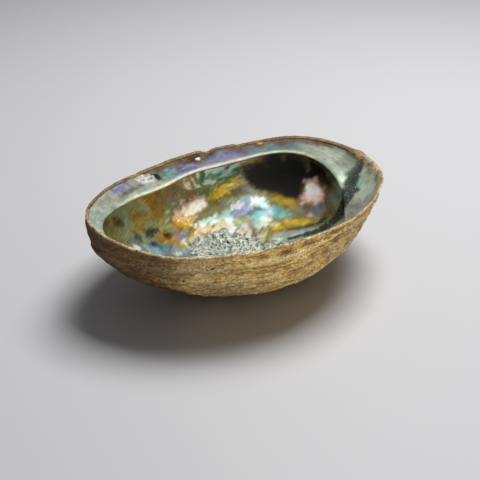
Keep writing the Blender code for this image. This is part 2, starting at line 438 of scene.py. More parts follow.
def on_wall(degrees, depth_mm):
    """Point of the outer wall at an angle and a depth below the rim, in millimetres."""
    i = int(round(degrees / 360 * SECTIONS)) % SECTIONS
    wall_r, wall_z = outline[i, CROWN_ROWS:LIP_START].T / MM
    height = wall_z[-1] - depth_mm
    r = np.interp(height, wall_z, wall_r)
    a = math.radians(degrees)
    return np.array([r * math.cos(a), r * math.sin(a), height]) - slide / MM


COLLAR_RISE_MM = 1.7
collar = np.zeros(len(at))
for degrees, depth_mm, width in PORES:
    distance = np.linalg.norm(at - on_wall(degrees, depth_mm), axis=1)
    collar += COLLAR_RISE_MM * np.exp(-((distance / (0.85 * width)) ** 4))
for degrees, depth_mm, width in OLD_PORES:
    distance = np.linalg.norm(at - on_wall(degrees, depth_mm), axis=1)
    collar += 1.3 * np.exp(-((distance / (1.1 * width)) ** 2))
    collar -= 0.7 * np.exp(-((distance / (0.45 * width)) ** 2))

spire_offset = at - SPIRE_MM
spire_distance = np.linalg.norm(spire_offset, axis=1)
side_way = np.cross(SPIRE_AXIS / np.linalg.norm(SPIRE_AXIS), [0, 1, 0])
spire_turn = np.arctan2(spire_offset[:, 1], spire_offset @ side_way)
whorl = (np.log(np.maximum(spire_distance, 0.8)) / 0.30 - spire_turn) / (2 * math.pi)
suture = np.exp(-((((whorl + 0.5) % 1 - 0.5) / 0.10) ** 2)) * (1 - step(15, 26, spire_distance))
spire_swell = SPIRE_RISE_MM * np.exp(-((spire_distance / SPIRE_RADIUS_MM) ** 2))

fade_to_lip = step(0.0, 2.5, depth)
outer_relief = (0.85 * ridges + 0.8 * lumps + grain - 0.55 * pitted - 0.3) * (0.25 + 0.75 * fade_to_lip)
outer_relief += collar - 0.9 * suture
print("relief outside, mm:", np.round([outer_relief[outside].min(), outer_relief[outside].max()], 2))

# %% [markdown]
# The pearl side is smooth but never flat. It swells and dips softly, fine ripples run along the bowl, and
# in the middle is the rough scar where the animal's foot muscle was fixed. The shelf carries a blister or
# two.

# %% The inside: swells, ripples, the muscle scar and blisters
stretched = np.stack([flat[:, 0] * 0.3, flat[:, 1] * 0.3, age * 1.2], axis=1)
swell = 0.55 * layered(at, 17, 41, 2) + 0.22 * layered(at, 6.5, 43, 2)
ripple = 0.10 * noise(stretched, 1.5, 45) + 0.06 * noise(stretched, 0.8, 46)

scar = near(0, 10, 25, 13, -22, 0.16, 0.40, 52)
scar = np.maximum(scar, near(14, 5, 15, 6, -22, 0.3, 0.4, 54)) * inside
crumbs = layered(at, 2.3, 55, 2)
scar_relief = scar * (0.35 + 0.95 * crumbs)

BLISTERS = ((-33.5, 39.0, 4.6, 3.6, 0.9), (-27.5, 41.5, 2.6, 1.8, 0.7), (-0.5, 49.6, 2.7, 2.2, 1.1),
            (-6.0, 47.6, 2.2, 1.6, 0.4), (52.5, 11.0, 5.0, 7.0, 0.5), (23.0, 29.0, 9.0, 6.5, 0.7))
blisters = sum(rise * near(x, y, a, b, 20, 0.7) for x, y, a, b, rise in BLISTERS)

on_edge = np.exp(-(((row_of - NOSE_START) / 7.0) ** 2))
inner_relief = swell * (1 - 0.8 * on_edge) + ripple + scar_relief + blisters
inner_relief *= step(0.2, 3.0, depth)

# %% [markdown]
# The relief moves each point along its normal. The crown is then worn flat where it would reach below the
# surface that the shell stands on, and the rim gets the small chips that every old shell has.

# %% Move the points
# Each chip: where it is in degrees, its width in degrees and its depth in millimetres.
RIM_CHIPS = ((79, 3.4, 1.6), (126, 1.6, 0.5), (62, 1.8, 0.4), (215, 2.2, 0.45), (252, 1.5, 0.35),
             (304, 1.8, 0.4))

normals = np.empty(len(at) * 3)
mesh.vertex_normals.foreach_get("vector", normals)
normals = normals.reshape(-1, 3)
relief = np.where(outside, outer_relief, np.where(inside, inner_relief, 0.0))
lip = ~outside & ~inside
relief[lip] = 0.18 * layered(at[lip], 3.0, 61)
moved = at + normals * relief[:, None]

swell_out = np.where(outside, spire_swell, 0.8 * spire_swell * (row_of >= INNER_START))
moved += SPIRE_AXIS * swell_out[:, None]

chip_depth = sum(
    drop * np.exp(-(((degrees_of - where + 180) % 360 - 180) / (wide * 0.9)) ** 2)
    for where, wide, drop in RIM_CHIPS
)
wander = 0.35 * bands(np.where(degrees_of < 180, degrees_of, 360 - degrees_of), 9, 62)
near_rim = (1 - step(0.0, 5.0, depth)) * (1 - step(3.0, 9.0, inset))
moved[:, 2] -= (chip_depth + wander) * near_rim

knob = np.exp(-((degrees_of - 8) / 3.0) ** 2) * (1 - step(0, 6, depth)) * outside
moved += np.array([0.55, 0.5, 0.1]) * (2.4 * knob)[:, None]
moved[:, 2] = np.maximum(moved[:, 2], 0.0)
mesh.vertices.foreach_set("co", (moved * MM).ravel())
mesh.update()
print("box after relief, mm:", np.round(np.ptp(moved, axis=0), 1))

# %% [markdown]
# Mother of pearl has hardly any pigment: thin layers split the light, and each spot keeps one part of it.
# So the pearl is painted from a small set of interference colours. They run in the same order everywhere,
# and a stretched noise slides along that order, which gives streaks that follow the growth lines.

# %% Pots of colour
def pot(red, green, blue):
    """A colour given as 0 to 255 values on a screen, as the shader's linear values."""
    screen = np.array([red, green, blue]) / 255
    return np.where(screen <= 0.04045, screen / 12.92, ((screen + 0.055) / 1.055) ** 2.4)


CREAM = pot(226, 222, 198)
WHITE = pot(240, 240, 236)
PALE_AQUA = pot(186, 216, 206)
AQUA = pot(122, 196, 190)
LILAC = pot(158, 164, 208)
VIOLET = pot(128, 108, 160)
PINK = pot(232, 190, 182)
GOLD = pot(202, 172, 82)
OLIVE = pot(112, 98, 36)
BRONZE = pot(104, 88, 56)
AMBER = pot(140, 104, 44)
MOSS = pot(116, 126, 90)
SLATE = pot(84, 102, 122)
TEAL = pot(26, 82, 66)
INK = pot(12, 13, 14)
UMBER = pot(74, 54, 36)
GREY = pot(128, 126, 112)

ORDER = np.array([TEAL, OLIVE * 0.8, BRONZE, OLIVE, MOSS, GREY, MOSS * 1.2, PALE_AQUA * 0.7, PINK * 0.7])


def from_order(position, colours):
    """Read a row of colours at positions from 0 to 1."""
    stops = np.linspace(0, 1, len(colours))
    return np.stack([np.interp(position, stops, colours[:, c]) for c in range(3)], axis=1)


def paint(layer, colour, mask):
    """Lay a colour over a layer where the mask is."""
    layer += (colour - layer) * np.clip(mask, 0, 1)[:, None]


# %% [markdown]
# The floor and the walls of the bowl are painted as on the real shell, one patch at a time: gold under
# the far wall, a bright lilac and aqua field beside the scar, slate and amber at the narrow end, a pink
# patch by the spire. Some white, cream, gold and pink patches are also painted highlights, one dark spot
# is painted shade at a pore's mouth, and the hollow under the shelf is painted nearly black as shade.
# Each patch is an oval with a ragged edge, turned to lie along the growth lines.

# %% Paint the floor and the walls
streaks = layered(stretched, 2.6, 71, 3)
drift = layered(at, 13, 74, 2)
pearl = from_order(np.clip(0.42 + 0.30 * drift + 0.20 * streaks, 0, 1), ORDER)

PATCHES_AND_HIGHLIGHTS = (
    # x, y, long, wide, tilt, colour, strength, raggedness
    (-50, 22, 13, 9, 40, MOSS, 0.9, 0.5),
    (-50, 21, 11, 4, 42, pot(130, 160, 150), 0.85, 0.6),
    (-40, 30, 9, 4, 35, MOSS * 1.2, 0.8, 0.6),
    (-24, 43, 18, 4.5, 18, BRONZE * 1.2, 0.9, 0.5),
    (6, 21.5, 14, 4.2, -8, GREY * 0.9, 0.85, 0.5),
    (17, 20, 7, 2.2, -12, BRONZE, 0.8, 0.6),
    (4, 24.5, 9, 1.5, 4, LILAC * 0.6, 0.6, 0.6),
    (-20, 40.5, 10, 1.6, 18, GREY, 0.6, 0.5),
    (-4, 45.5, 14, 3.5, 6, BRONZE, 0.9, 0.4),
    (8, 46.5, 10, 5, -4, TEAL * 1.6, 0.6, 0.3),
    (17, 47, 7, 4.0, -15, TEAL, 0.9, 0.4),
    (-52, 20, 10, 6, 30, MOSS, 0.8, 0.4),
    (-36, 18, 10, 4.5, -5, SLATE, 0.9, 0.5),
    (-24, 18, 8, 4, -5, SLATE, 0.8, 0.5),
    (-21, 27, 5, 3, 20, SLATE, 0.8, 0.5),
    # Painted highlight: a white spot at the narrow end.
    (-48, 16.5, 2.0, 1.4, 0, WHITE, 0.8, 0.3),
    (-31, 15.5, 3.6, 1.6, 10, OLIVE, 0.85, 0.7),
    (-22, 21, 5.0, 1.6, 20, OLIVE, 0.85, 0.7),
    (-39, 17, 3.2, 1.8, 0, pot(120, 150, 150), 0.8, 0.7),
    (-26, 16.5, 3.0, 1.2, 0, PALE_AQUA * 0.7, 0.7, 0.7),
    (-18, 17.5, 3.0, 1.2, 30, UMBER * 0.6, 0.8, 0.7),
    (-33, 20, 3.0, 1.2, 30, TEAL, 0.8, 0.7),
    (-30, 33, 14, 4, 28, MOSS, 0.7, 0.5),
    (-27, 24.5, 5.5, 3.5, 10, AMBER, 0.85, 0.6),
    (-42, 29, 7, 3.2, 35, AMBER, 0.7, 0.7),
    (-30, 37, 7, 4, 30, AMBER, 0.65, 0.6),
    (-17, 32.5, 7.5, 3.6, 18, AMBER, 0.9, 0.5),
    (-15, 34, 5, 2.4, 15, GOLD, 0.6, 0.5),
    (-7, 28.5, 8, 3.2, 15, AMBER, 0.85, 0.5),
    (-11, 25.5, 6, 2, 20, OLIVE, 0.8, 0.4),
    # Painted highlight: the pink, cream and white streak.
    (-10, 38.5, 9, 2.6, 18, PINK, 0.6, 0.5),
    (-8, 39.2, 7, 1.9, 16, CREAM, 0.85, 0.5),
    (-3, 40.5, 5, 1.8, 12, WHITE, 0.6, 0.4),
    (3, 37, 9, 1.3, 8, MOSS, 0.8, 0.5),
    (0, 33, 10, 1.6, 6, PALE_AQUA, 0.75, 0.5),
    (3, 30, 8, 1.5, 0, OLIVE, 0.6, 0.5),
    (7, 41, 7, 2.0, 5, OLIVE, 0.75, 0.5),
    (13, 43.2, 12, 3.0, 0, OLIVE, 0.9, 0.35),
    # The bright gold line is real gold and partly a painted highlight.
    (14, 43.0, 9, 1.7, 0, GOLD, 1.0, 0.35),
    (22, 40.0, 8, 2.3, -14, BRONZE, 0.9, 0.4),
    (27, 38.0, 8, 2.5, -30, GREY, 0.8, 0.5),
    # The whites, creams and pale aquas of this field are real colour and partly a painted highlight.
    (22, 30, 13, 8, -22, GREY, 0.9, 0.45),
    (22, 30, 11, 6.5, -22, PALE_AQUA * 0.8, 0.75, 0.8),
    (18, 33.5, 4.5, 2.6, 0, LILAC * 0.9, 0.8, 0.8),
    (16, 35.5, 2.8, 1.5, 0, WHITE, 0.7, 0.7),
    (26, 34, 3.2, 1.8, -20, WHITE, 0.75, 0.8),
    (29, 31, 2.4, 1.6, -20, PALE_AQUA, 0.8, 0.7),
    (24, 26.5, 3.4, 1.8, 10, AQUA * 0.9, 0.8, 0.8),
    (15, 28, 3.0, 1.8, 10, MOSS * 1.3, 0.8, 0.8),
    (30, 25.5, 3.2, 1.6, -40, LILAC, 0.75, 0.8),
    (27, 22.5, 2.8, 1.4, -40, CREAM, 0.75, 0.8),
    (21, 29.5, 2.6, 1.4, 0, SLATE, 0.85, 0.7),
    (26, 29.5, 3.0, 1.2, -30, SLATE, 0.85, 0.7),
    (12, 32, 2.6, 1.4, 10, SLATE * 1.2, 0.7, 0.7),
    (33, 29, 2.4, 1.2, -50, BRONZE, 0.8, 0.7),
    (17, 24, 4, 3, 0, GREY, 0.7, 0.6),
    (37, 33, 9, 4, -48, OLIVE, 0.9, 0.4),
    (40, 25, 7, 3.5, -60, GOLD, 0.55, 0.5),
    (34, 21, 4, 3, -30, AQUA, 0.5, 0.6),
    (12, 20, 6, 3.5, -30, OLIVE, 0.6, 0.6),
    (30, 15.0, 8, 3.6, -30, OLIVE, 1.0, 0.4),
    # The gold and cream here are real colour and partly a painted highlight.
    (31, 15.0, 5.5, 2.2, -32, GOLD, 0.9, 0.4),
    (29, 17.6, 3, 1.2, -30, CREAM, 0.7, 0.3),
    (33, 5, 11, 4.0, -30, GREY * 1.2, 0.9, 0.4),
    (33, 3, 10, 2.0, -28, PALE_AQUA * 0.9, 0.85, 0.6),
    (40, 8.5, 10, 3.6, -38, OLIVE, 0.95, 0.3),
    (39, 5.5, 9, 1.2, -35, UMBER * 0.7, 0.85, 0.4),
    (38, 11, 6, 2, -45, GOLD, 0.6, 0.4),
    (45, 15, 4, 6, 0, GREY, 0.6, 0.5),
)
# Painted highlight: the pink and white by the spire are made brighter than their own colour.
BY_THE_SPIRE_WITH_HIGHLIGHT = (
    (50, 13, 7, 9, -12, BRONZE * 1.2, 0.95, 0.4),
    (51, 15.5, 4.6, 7.5, -12, PINK * 1.25, 0.9, 0.6),
    (52, 18, 2.8, 4.5, 0, WHITE * 1.1, 0.85, 0.5),
    (48, 9, 4, 3, -40, SLATE * 1.2, 0.7, 0.6),
    (56, 9, 2.2, 5, 0, BRONZE, 0.85, 0.5),
)
# Dark spots in the pearl; the first is painted shade, the dark mouth of a pore under the far shelf.
DARK_SPOTS_AND_PORE_SHADE = ((16.5, 49, 1.5, 1.2), (-45.5, 22, 2.4, 1.7), (-38.5, 25.5, 2.8, 2.2), (-34.5, 27.5, 3.5, 1.4),
              (-37.5, 21.2, 2.0, 1.3), (-28, 26.4, 2.2, 1.3), (-54, 24, 3.2, 1.6), (-16, 22.5, 2.2, 1.2),
              (47, 2, 4.0, 2.0))

# The hollow under the shelf, painted nearly black as shade: x, y, long, wide and tilt of each oval.
SHADE_HOLLOW_OVALS = ((47, 31, 17, 7.5, -58), (36, 39, 14, 5.0, -38), (56, 20, 4.0, 12, -8), (57.5, 8, 2.2, 9, 0))
below_shelf = inside & (row_of > NOSE_START + 3)


def paint_patches(patches, seed):
    """Paint a list of oval patches below the shelf, one over the other."""
    for i, (*oval, colour, strength, ragged) in enumerate(patches):
        paint(pearl, colour, strength * near(*oval, 0.45, ragged, seed + i) * below_shelf)


paint_patches(PATCHES_AND_HIGHLIGHTS, 100)
# The first of these spots is painted shade at a pore's mouth.
for i, (x, y, long, wide) in enumerate(DARK_SPOTS_AND_PORE_SHADE):
    paint(pearl, INK, 0.9 * near(x, y, long, wide, 20, 0.5, 0.5, 150 + i) * below_shelf)

hollow = np.max([near(*oval, 0.25, 0.25, 170 + i) for i, oval in enumerate(SHADE_HOLLOW_OVALS)], axis=0)
# Painted shade: the hollow is coloured nearly black.
paint(pearl, INK * 0.2, 0.98 * hollow * below_shelf)
paint_patches(BY_THE_SPIRE_WITH_HIGHLIGHT, 180)

thin_lines = step(0.45, 0.8, noise(stretched * np.array([0.5, 0.5, 1.0]), 0.9, 77))
thin_lines *= row_of >= INNER_START
paint(pearl, CREAM, 0.5 * thin_lines * near(-5, 38, 26, 7, 12, 0.5))
narrow_end = np.exp(-(((degrees_of - 166) / 14) ** 2)) * step(5, 9, depth) * (1 - step(24, 30, depth))
mottle = from_order(0.5 + 0.5 * noise(at, 2.2, 79), np.array([INK, OLIVE, UMBER, MOSS]))
paint(pearl, mottle, 0.9 * narrow_end)
print("patches painted:", len(PATCHES_AND_HIGHLIGHTS) + len(DARK_SPOTS_AND_PORE_SHADE))

# %% [markdown]
# The near wall grew last. Its pearl is calmer than the old floor: wide soft streaks along the growth
# lines, pale near the lip, and darker towards the scar. A dark seam runs down from the rim at the spire
# end, where this wall was laid over the older whorl: it is painted shade of the valley there, with pale
# flecks, and beside it is a pale aqua strip.

# %% Paint the near wall, and the seam as painted shade
toward_lip = 1 - step(2.0, 13.0, depth)
wall_way = 0.62 + 0.30 * noise(stretched, 3.4, 81) + 0.22 * noise(stretched, 1.5, 82) + 0.15 * drift
WALL_ORDER = np.array([OLIVE, GREY, MOSS, PALE_AQUA, GREY, PINK, PALE_AQUA, LILAC, CREAM])
wall_colour = from_order(np.clip(wall_way, 0, 1), WALL_ORDER)
wall_colour += (CREAM * 0.8 - wall_colour) * (0.65 * toward_lip)[:, None]
near_half = step(-0.05, 0.35, -np.sin(np.radians(degrees_of + 6))) * step(22, 34, rho)
pearl += (wall_colour - pearl) * near_half[:, None]

right_strip = near(67, -8, 10, 18, 14, 0.35, 0.15, 83)
paint(pearl, pot(198, 212, 192), 0.92 * right_strip)
paint(pearl, CREAM, 0.5 * near(71, -12, 3, 14, 14, 0.4, 0.2, 84))
paint(pearl, AQUA, 0.35 * near(66, -3, 4, 5, 0, 0.5, 0.4, 85))

# The seam of painted shade as points in plan: x, y and half its width, in millimetres.
SEAM_SHADE_LINE = ((76, 5, 1.0), (71, 3.5, 2.6), (66, 2.5, 3.6), (62, -1, 4.2), (59, -4, 4.6), (53, -6, 4.0),
        (47, -5.5, 3.0), (41, -2.5, 2.2), (36, 0.5, 1.6), (30, 4, 1.0))


def along_line(line, ragged, seed):
    """Mask of a band of changing width along a line in plan."""
    best = np.full(len(at), 9.0)
    for (x0, y0, w0), (x1, y1, w1) in zip(line, line[1:]):
        way = np.array([x1 - x0, y1 - y0])
        share = np.clip(((at[:, :2] - (x0, y0)) @ way) / (way @ way), 0, 1)
        gap = np.hypot(at[:, 0] - x0 - share * way[0], at[:, 1] - y0 - share * way[1])
        best = np.minimum(best, gap / (w0 + share * (w1 - w0)))
    return 1 - step(0.7, 1.35, best + ragged * layered(at, 4, seed, 3))


seam_shade = along_line(SEAM_SHADE_LINE, 0.35, 90)
# Painted shade: the seam is coloured near black; pale flecks come in the shader.
seam_shade_colour = from_order(0.5 + 0.75 * layered(at, 2.1, 96, 2), np.array([INK * 0.6, INK, INK, INK * 2.5]))
pearl += (seam_shade_colour - pearl) * (0.93 * seam_shade * inside)[:, None]
print("share of the pearl side in the seam:", round(float(seam_shade[inside].mean()), 3))

# %% [markdown]
# The shelf shows the newest layers edge on. Its inner half is smooth pearl, lilac in the middle and aqua
# at both ends. Along the rim the brown skin that covers a living shell is still there, with an uneven
# border. The free edge is worn to a thin cream line, and one blister near the narrow end is black and
# white.

# %% Paint the shelf and the lip
shelf_zone = inside & (row_of < UNDER_START)
along_shelf = np.interp(degrees_of, [0, 15, 35, 60, 100, 118, 130, 150, 180, 181, 360],
                        [0.10, 0.12, 0.30, 0.62, 0.60, 0.20, 0.02, 0.05, 0.0, 0, 0])
BLUE_GREY = pot(150, 162, 192)
SILVER = pot(178, 194, 182)
SHELF_ORDER = np.array([SILVER, pot(196, 198, 178), pot(146, 186, 180), BLUE_GREY * 0.9, LILAC * 0.7,
                        VIOLET * 0.9, BLUE_GREY])
shelf_way = along_shelf + 0.16 * layered(at, 7, 201, 3) + 0.10 * noise(at, 2.2, 204)
shelf_colour = from_order(np.clip(shelf_way, 0, 1), SHELF_ORDER)
shelf_fade = shelf_zone * step(2, 12, degrees_of) * (1 - step(178, 190, degrees_of))
shelf_dim = np.interp(degrees_of, [0, 20, 40, 100, 130, 180], [0.72, 0.70, 0.52, 0.45, 0.52, 0.60])
shelf_colour *= (shelf_dim * (1 + 0.25 * noise(at, 3, 203)))[:, None]
pearl += (shelf_colour - pearl) * shelf_fade[:, None]

SHELF_STREAKS = (
    # x, y, long, wide, tilt, softness, raggedness; then colour and strength
    ((-50, 32, 7, 2.6, 38, 0.5, 0.5), VIOLET * 0.7, 0.8),
    ((-52, 34, 8, 2.2, 38, 0.5, 0.5), BLUE_GREY * 0.7, 0.8),
    ((-43, 31.5, 11, 1.1, 32, 0.6, 0.5), UMBER, 0.75),
    ((-22, 44, 8, 3.0, 16, 0.5, 0.4), AQUA * 0.7, 0.8),
)
for i, (oval, colour, strength) in enumerate(SHELF_STREAKS):
    paint(pearl, colour, strength * shelf_fade * near(*oval, 205 + i))

brown_share = np.interp(degrees_of, [0, 14, 24, 40, 60, 78, 88, 100, 118, 128, 140, 200, 360],
                        [0.10, 0.12, 0.50, 0.66, 0.60, 0.50, 0.85, 0.62, 0.55, 0.28, 0.08, 0.05, 0.03])
brown_edge = brown_share + 0.22 * layered(at, 4.5, 210, 3)
brown = (1 - step(-0.22, 0.20, across_shelf - brown_edge)) * shelf_zone
SKIN_ORDER = np.array([UMBER * 0.6, pot(98, 82, 66), pot(116, 100, 96)])
brown_colour = from_order(0.5 + 0.5 * layered(at, 3, 213, 2), SKIN_ORDER)
pearl += (brown_colour - pearl) * (0.92 * brown)[:, None]

edge_line = np.exp(-(((row_of - NOSE_START - 0.5) / 1.7) ** 2))
edge_line *= step(16, 34, degrees_of) * (1 - step(140, 165, degrees_of))
paint(pearl, CREAM, 0.92 * edge_line * inside)

blister = near(-33.4, 39.2, 5.0, 3.4, 20, 0.25, 0.25, 215) * shelf_zone
paint(pearl, WHITE, blister)
SHELF_SPOTS = (
    ((-28.0, 41.2, 3.4, 2.2, -15, 0.3, 0.4), INK, 1.0),
    ((-1.2, 50.4, 3.8, 3.0, 0, 0.35, 0.3), UMBER, 0.95),
    ((-0.4, 48.6, 1.2, 0.9, 0, 0.4, 0.2), WHITE, 1.0),
    ((36.6, 48.6, 1.4, 1.3, 0, 0.4, 0.2), GOLD, 0.9),
)
for i, (oval, colour, strength) in enumerate(SHELF_SPOTS):
    paint(pearl, colour, strength * near(*oval, 216 + i) * shelf_zone)
lip_near = pot(206, 186, 146)
lip_far = pot(124, 98, 62)
lip_colour = lip_near + (lip_far - lip_near) * step(-0.1, 0.3, np.sin(np.radians(degrees_of)))[:, None]
lip_colour = lip_colour * (0.9 + 0.35 * layered(at, 2.5, 221, 2))[:, None]
on_lip = (1 - step(0.5, 1.6, inset + 0.5 * noise(at, 2.0, 220))) * (row_of >= LIP_START)
pearl += (lip_colour - pearl) * on_lip[:, None]
print("brown share of the shelf:", round(float(brown[shelf_zone].mean()), 2))

# %% [markdown]
# The crust is sand-coloured lime and grit that settles in the ridges, so its colour follows the relief:
# pale on worn crests, brown in the grooves. It is reddest at the narrow end, and painted darker there as
# shade, since that end is turned from the light; it is greyest at the crown, and around the spire the
# worn outer layer lets some pearl through.

# %% Paint the crust
SAND = pot(212, 186, 126)
OCHRE = pot(194, 156, 88)
BARK = pot(104, 76, 48)
RUST = pot(122, 70, 50)
BONE = pot(222, 206, 172)
DUST = pot(150, 134, 108)

crest = np.clip(0.5 + 0.45 * (ridges + 0.5 * lumps), 0, 1)
tone = 0.5 + 0.36 * noise(np.stack([wavy * 1.6, at[:, 0] / 9, at[:, 1] / 9], axis=1), 2.2, 231)
tone = np.clip(0.55 * tone + 0.45 * crest + 0.18 * layered(at, 4, 232, 3), 0, 1)
crust = from_order(tone, np.array([BARK, BARK * 1.25, OCHRE, SAND, SAND, BONE]))
paint(crust, BARK * 0.5, 0.9 * ledge_foot * step(-0.5, 0.3, noise(at, 5, 233)))
ledge_crest = np.clip(ledge_height, 0, 1) * np.exp(-((ledge_part - 0.76) / 0.10) ** 2)
paint(crust, BONE, 0.55 * ledge_crest * step(-0.5, 0.3, noise(at, 6, 234)))
paint(crust, DUST, 0.4 * step(-0.1, 0.6, layered(at, 21, 235, 2)))
# Painted shade: the narrow end, turned from the light, is coloured darker.
narrow_end_crust_shade = 1 - step(-66, -36, at[:, 0] + 6 * noise(at, 14, 236))
paint(crust, BARK * 0.75, 0.85 * narrow_end_crust_shade)
paint(crust, RUST * 0.8, 0.85 * near(-50, -19, 10, 8, 0, 0.6, 0.5, 237) * outside)
paint(crust, DUST, 0.35 * (1 - step(4, 16, at[:, 2])))
worn = near(SPIRE_MM[0] + 2, SPIRE_MM[1], 13, 13, 0, 0.5, 0.5, 240) * (1 - step(10, 22, at[:, 2]))
worn = np.maximum(worn, 0.8 * near(-4, -1, 13, 10, 20, 0.4, 0.6, 241) * (1 - step(1.5, 5, at[:, 2])))
bare_pearl = from_order(0.5 + 0.6 * noise(at, 3, 242), np.array([PINK, CREAM, PALE_AQUA])) * 0.8
paint(crust, bare_pearl, 0.7 * worn)
paint(crust, INK * 2, 0.75 * step(0.35, 0.9, suture) * outside)
print("worn share of the outside:", round(float(worn[outside].mean()), 3))

# %% [markdown]
# The pores are real holes through the wall, in a row along the shelf side. Only the last few stay open
# while the animal lives, and older ones are sealed. Each one is cut with a short tapered cylinder set
# square to the wall.

# %% Cut the pores
laid = {}


def lay_attribute(name, kind, values):
    """Store one value or vector per point of the mesh, for the material to read."""
    attribute = mesh.attributes.new(name, kind, "POINT")
    field = {"FLOAT": "value", "FLOAT_VECTOR": "vector", "FLOAT_COLOR": "color"}[kind]
    values = np.asarray(values, np.float32)
    attribute.data.foreach_set(field, values.ravel())
    laid[name] = (field, values.reshape(len(values), -1))


def read_points(source, field, width):
    """One value or vector per point, as rows of an array."""
    values = np.empty(len(source) * width, np.float32)
    source.foreach_get(field, values)
    return values.reshape(len(source), width)


pearl_side = step(TOP_START - 1, TOP_START + 3, row_of + 1.5 * noise(at, 1.6, 250))
crust += (lip_colour * 1.2 - crust) * (0.8 * (row_of >= LIP_START - 1))[:, None]
paint_rgb = crust + (pearl - crust) * pearl_side[:, None]
lay_attribute("paint", "FLOAT_COLOR", np.column_stack([np.clip(paint_rgb, 0, 1), np.ones(len(at))]))
lay_attribute("pearl side", "FLOAT", pearl_side)
lay_attribute("scar", "FLOAT", np.maximum(scar, 0.75 * blister * inside))
# The brown skin, and the seam and hollow of painted shade, are kept dull.
dull = np.maximum(brown, np.maximum(0.8 * seam_shade, hollow) * inside)
lay_attribute("skin and painted shade", "FLOAT", np.clip(dull, 0, 1))
lay_attribute("seam_shade", "FLOAT", seam_shade * inside)
lay_attribute("shelf", "FLOAT", shelf_fade)
lay_attribute("growth", "FLOAT_VECTOR", np.column_stack([flat, wavy]))
lay_attribute("row", "FLOAT", row_of)
lay_attribute("grown", "FLOAT", np.ones(len(at)))
uncut = read_points(mesh.vertices, "co", 3)
lay_attribute("peel", "FLOAT_VECTOR", np.column_stack(
    [rho_outer[section_of, row_of], rho_inner[section_of, row_of], np.zeros(len(at))]))


PORE_SIDES = 40
PORE_CUT_MM = 11


def pore_cutter(degrees, depth_mm, width):
    """Tapered cylinder square to the wall, in the metres of the scene."""
    middle = on_wall(degrees, depth_mm)
    outward = middle - on_wall(degrees, depth_mm + 4)
    up_wall = Vector(outward).normalized()
    a = math.radians(degrees)
    around_wall = Vector((-math.sin(a), math.cos(a), 0))
    normal = around_wall.cross(up_wall).normalized()
    radius = 0.36 * width * MM
    bpy.ops.mesh.primitive_cone_add(vertices=PORE_SIDES, radius1=radius * 0.55, radius2=radius * 1.65,
                                    depth=PORE_CUT_MM * MM)
    cutter = bpy.context.object
    cutter.data.uv_layers.remove(cutter.data.uv_layers[0])
    spin = normal.to_track_quat("Z", "Y") @ Quaternion((0, 0, 1), math.radians(20))
    cutter.matrix_world = Matrix.Translation(Vector(middle) * MM) @ spin.to_matrix().to_4x4()
    cutter.data.transform(Matrix.Diagonal((1.0, 1.2, 1.0, 1.0)))
    return cutter


for degrees, depth_mm, width in PORES:
    cutter = pore_cutter(degrees, depth_mm, width)
    cut = shell.modifiers.new("pore", "BOOLEAN")
    cut.operation = "DIFFERENCE"
    cut.solver = "MANIFOLD"
    cut.object = cutter
    bpy.context.view_layer.update()
    cut_mesh = bpy.data.meshes.new_from_object(shell.evaluated_get(bpy.context.evaluated_depsgraph_get()))
    shell.modifiers.clear()
    shell.data = cut_mesh
    bpy.data.objects.remove(cutter)
mesh = shell.data
mesh.name = "shell"
mesh.shade_smooth()

# A point that a cut made on the edge of a pore takes over everything from the nearest point of the uncut
# wall.
cut_edge = np.flatnonzero(read_points(mesh.attributes["grown"].data, "value", 1)[:, 0] < 0.99)
places = read_points(mesh.vertices, "co", 3)
nearest = np.array([np.argmin(((uncut - places[i]) ** 2).sum(axis=1)) for i in cut_edge])
for name, (field, values) in laid.items():
    data = mesh.attributes[name].data
    repaired = read_points(data, field, values.shape[1])
    repaired[cut_edge] = values[nearest]
    data.foreach_set(field, repaired.ravel())
print("points on pore edges:", len(cut_edge))
print("points after the pores:", len(mesh.vertices), "faces:", len(mesh.polygons))
print("attributes kept:", [a.name for a in mesh.attributes if not a.name.startswith(".")])

# %% [markdown]
# A map of the surface lets the finish be laid out flat as pictures. Each side is unrolled from its middle
# like a peel, the crust in the lower half of the map and the pearl in the upper half. The pore walls go
# in narrow strips in the corners that the two ovals leave free.

# %% Unroll the surface
MARGIN = 0.012

corner_point = np.empty(len(mesh.loops), np.int32)
mesh.loops.foreach_get("vertex_index", corner_point)
face_start = np.empty(len(mesh.polygons), np.int32)
mesh.polygons.foreach_get("loop_start", face_start)
face_of_corner = np.repeat(np.arange(len(mesh.polygons)), np.diff(np.append(face_start, len(mesh.loops))))

row_at = read_points(mesh.attributes["row"].data, "value", 1)[corner_point, 0]
growth_at = read_points(mesh.attributes["growth"].data, "vector", 3)[corner_point]
peel_at = read_points(mesh.attributes["peel"].data, "vector", 3)[corner_point]
row_low = np.minimum.reduceat(row_at, face_start)
row_high = np.maximum.reduceat(row_at, face_start)
pore_wall = (row_high - row_low > 20)[face_of_corner]
pearl_corner = (row_low >= LIP_START - 1)[face_of_corner] & ~pore_wall

bearing = growth_at[:, :2] / np.maximum(np.hypot(growth_at[:, 0], growth_at[:, 1]), 1e-6)[:, None]
uv = np.zeros((len(mesh.loops), 2))
HALF_MAP = np.array([0.5, 0.25])
for chosen, side, middle_v in ((~pearl_corner, 0, 0.25), (pearl_corner, 1, 0.75)):
    spread = bearing[chosen] * peel_at[chosen, side, None]
    span = np.abs(spread).max(axis=0) * (1 + 2 * MARGIN)
    uv[chosen] = (0.5, middle_v) + HALF_MAP * spread / span

